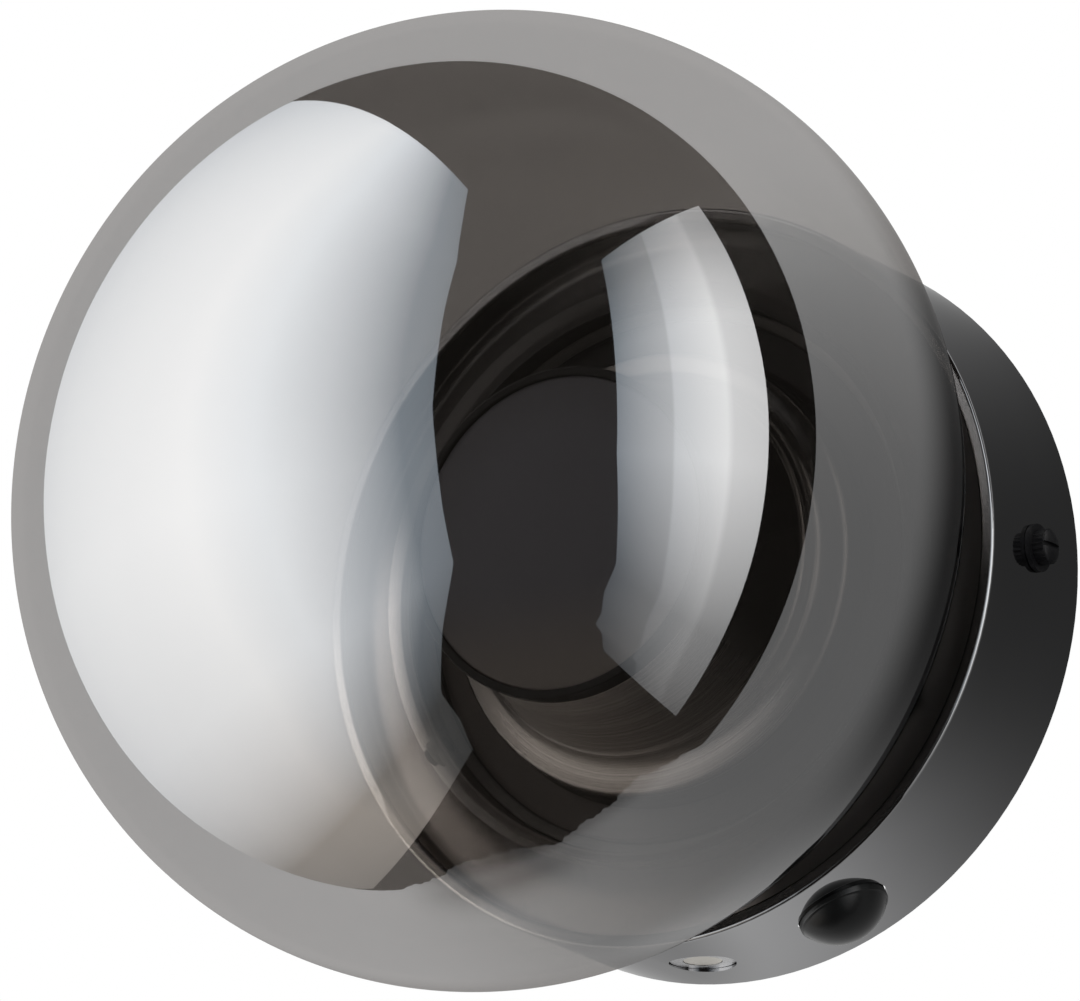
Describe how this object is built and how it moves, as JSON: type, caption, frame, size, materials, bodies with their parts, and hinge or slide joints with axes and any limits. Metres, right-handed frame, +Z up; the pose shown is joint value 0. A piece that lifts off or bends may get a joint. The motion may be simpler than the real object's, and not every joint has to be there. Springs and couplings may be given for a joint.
{
  "type": "globe wall sconce",
  "caption": "Wall light with a smoked, semi-mirrored glass globe over an opal disc lamp on a bell hub, on a round polished dark canopy with a domed switch and a small push-button in its side.",
  "frame": {"origin": "centre of the wall face, where the bracket and the canopy's back edge meet the wall", "axes": "+Y into the wall, -Y out of it towards the globe, +Z up, +X to the right as seen from the front"},
  "size_m": [0.2, 0.1926, 0.2],
  "materials": {
    "zinc_steel": "bright zinc plate, fine scratches",
    "black_rubber": "matt moulded rubber",
    "brass": "plain turned brass",
    "tinned_copper": "dull tin plate",
    "white_plastic": "fine moulded texture",
    "black_nickel": "polished black nickel plate",
    "black_metal": "black oxide with a light sheen",
    "smoked_glass": "smoked glass with a thin metallised mirror coat",
    "holder_black": "satin black paint",
    "hub_black": "polished black, turned lines round the axis",
    "raw_aluminium": "as extruded",
    "board_white": "white solder mask",
    "chip_yellow": "phosphor under clear resin",
    "opal": "opal satin diffuser",
    "cap_black": "glossy moulded dome, soft highlight",
    "dark_plastic": "glass-filled moulding",
    "spring_steel": "drawn wire",
    "satin_nickel": "satin nickel, turned face",
    "bezel_grey": "satin grey plate",
    "lead_green": "green and yellow insulation",
    "lead_brown": "brown insulation",
    "lead_blue": "blue insulation",
    "lead_red": "red insulation",
    "lead_black": "black insulation",
    "lead_grey": "grey insulation"
  },
  "bodies": {
    "fixture": {"wall_bracket": "zinc_steel", "cable_bush": "black_rubber", "earth_screw": "brass", "earth_washer": "zinc_steel", "earth_lug": "tinned_copper", "terminal_block": "white_plastic", "terminal_screws": "brass", "terminal_fixing_screw": "zinc_steel", "canopy_shell": "black_nickel", "side_screws": "black_metal", "side_washers": "black_metal", "holder_ring": "holder_black", "holder_screws": "zinc_steel", "globe_gasket": "black_rubber", "grub_screws": "black_metal", "lamp_hub": "hub_black", "heat_sink": "raw_aluminium", "led_board": "board_white", "led_chips": "chip_yellow", "board_screws": "zinc_steel", "diffuser": "opal", "diffuser_ring": "hub_black", "lamp_tube": "brass", "lamp_tube_nut": "zinc_steel", "lock_washer": "zinc_steel", "led_driver": "white_plastic", "driver_nuts": "zinc_steel", "switch_body": "dark_plastic", "switch_nut": "zinc_steel", "switch_spring": "spring_steel", "switch_bracket": "zinc_steel", "mode_button_barrel": "bezel_grey", "mode_button_nut": "zinc_steel", "mode_button_spring": "spring_steel", "mode_button_base": "dark_plastic", "earth_lead": "lead_green", "live_leads": "lead_brown", "neutral_lead": "lead_blue", "led_lead_red": "lead_red", "led_lead_black": "lead_black", "button_leads": "lead_grey"},
    "globe": {"glass_globe": "smoked_glass"},
    "switch_button": {"switch_cap": "cap_black"},
    "mode_button": {"mode_button": "satin_nickel"}
  },
  "joints": [
    {"name": "globe_removal", "type": "slide", "parent": "fixture", "child": "globe", "axis": [0, -1, 0], "range_m": [0, 0.06]},
    {"name": "switch_press", "type": "slide", "parent": "fixture", "child": "switch_button", "axis": [-0.4226, 0, 0.9063], "range_m": [0, 0.002], "stiffness_N_per_m": 900, "springref_m": -0.001},
    {"name": "mode_button_press", "type": "slide", "parent": "fixture", "child": "mode_button", "axis": [0, 0, 1], "range_m": [0, 0.001], "stiffness_N_per_m": 1200, "springref_m": -0.001, "deforming": ["mode_button_spring"]}
  ]
}
